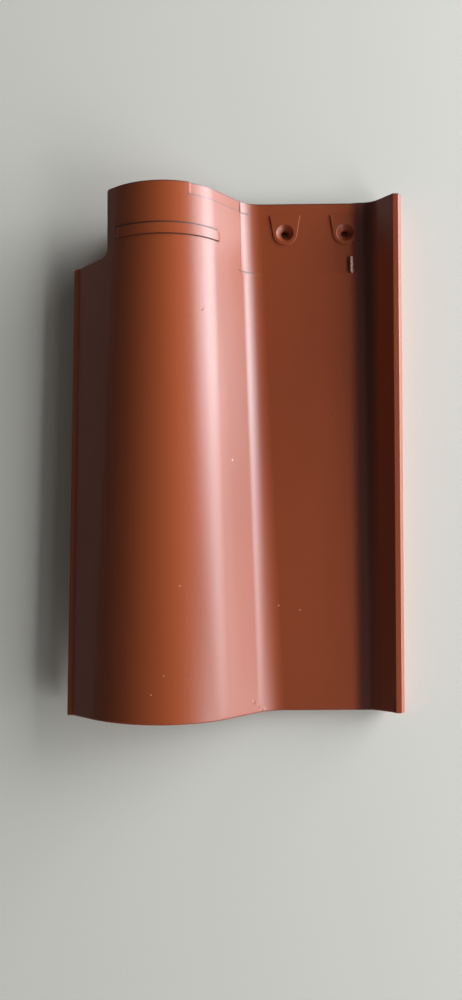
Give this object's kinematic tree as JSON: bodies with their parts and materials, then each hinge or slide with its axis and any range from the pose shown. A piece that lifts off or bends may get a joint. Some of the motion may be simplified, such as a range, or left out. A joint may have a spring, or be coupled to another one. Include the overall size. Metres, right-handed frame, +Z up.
{
  "type": "clay roof tile",
  "caption": "Pressed S-profile clay roof tile with a cover barrel, a flat water pan, a side lip and nail holes at the head.",
  "frame": {"origin": "floor level under the middle of the tile's outline", "axes": "+Y up the roof from foot edge to head edge, +X from the barrel to the side lip, +Z up away from the roof"},
  "size_m": [0.26, 0.4, 0.0605],
  "materials": {
    "glazed_clay": "glossy red-brown glaze over fired clay"
  },
  "bodies": {
    "root": {"roof_tile": "glazed_clay"}
  },
  "joints": []
}
